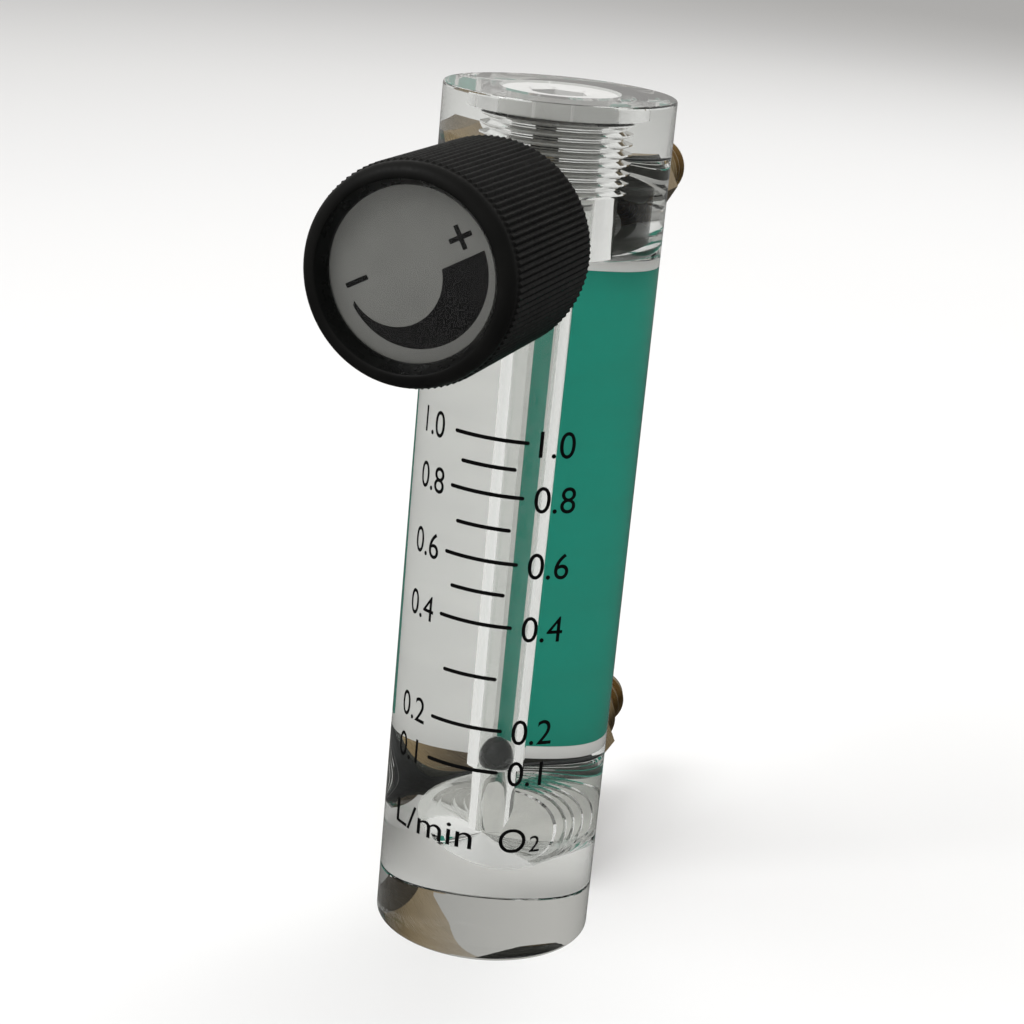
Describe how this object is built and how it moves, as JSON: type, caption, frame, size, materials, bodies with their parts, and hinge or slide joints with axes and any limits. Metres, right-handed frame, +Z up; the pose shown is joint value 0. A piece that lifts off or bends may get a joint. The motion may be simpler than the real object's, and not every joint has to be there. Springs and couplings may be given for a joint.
{
  "type": "gas flowmeter",
  "caption": "Clear acrylic variable-area gas flowmeter with a ball float, a printed scale, a needle valve with a knurled knob, and two hose fittings for panel mounting.",
  "frame": {"origin": "centre of the acrylic tube's flat bottom face", "axes": "+Z up the tube, -Y towards the knob, +Y towards the hose fittings, +X to the right of the scale"},
  "size_m": [0.022, 0.0739, 0.0855],
  "materials": {
    "clear_acrylic": "clear polished acrylic, threads left as cut",
    "white_nylon": "natural white, smooth",
    "silicone": "translucent white",
    "black_rubber": "matte",
    "float_black": "gloss",
    "label_white": "smooth printed film",
    "label_teal": "smooth printed film",
    "brass": "turned brass",
    "filter_white": "porous white polyethylene",
    "steel": "turned stainless steel",
    "ptfe": "waxy white",
    "knob_black": "satin moulded plastic, gloss on the rim",
    "face_grey": "satin printed face",
    "face_lens": "clear, polished"
  },
  "bodies": {
    "root": {"flow_tube_body": "clear_acrylic", "top_plug": "white_nylon", "top_plug_oring": "silicone", "float_stop": "ptfe", "label_backing": "label_white", "label_panel": "label_teal", "upper_hose_fitting": "brass", "upper_fitting_gasket": "black_rubber", "lower_hose_fitting": "brass", "lower_fitting_gasket": "black_rubber", "inlet_filter": "filter_white", "valve_bonnet": "brass", "bonnet_gasket": "black_rubber", "packing_gland": "ptfe", "stem_packing_oring": "black_rubber", "packing_washer": "brass", "valve_seat": "ptfe"},
    "float": {"float_ball": "float_black"},
    "needle": {"valve_needle": "steel"},
    "knob": {"valve_stem": "brass", "stem_retaining_ring": "steel", "knob_insert": "brass", "knob_shell": "knob_black", "knob_screw_washer": "steel", "knob_screw": "steel", "knob_face_disc": "face_grey", "knob_face_lens": "face_lens"}
  },
  "joints": [
    {"name": "float_rise", "type": "slide", "parent": "root", "child": "float", "axis": [0, 0, 1], "range_m": [0, 0.0494]},
    {"name": "needle_travel", "type": "slide", "parent": "root", "child": "needle", "axis": [0, -1, 0], "range_m": [0, 0.00155]},
    {"name": "knob_turn", "type": "hinge", "parent": "needle", "child": "knob", "pos_m": [0, 0, 0.0733], "axis": [0, -1, 0], "range_deg": [0, 1080]}
  ],
  "couplings": [
    {"joint": "needle_travel", "follows": "knob_turn", "m_per_rad": 0.000079577}
  ]
}
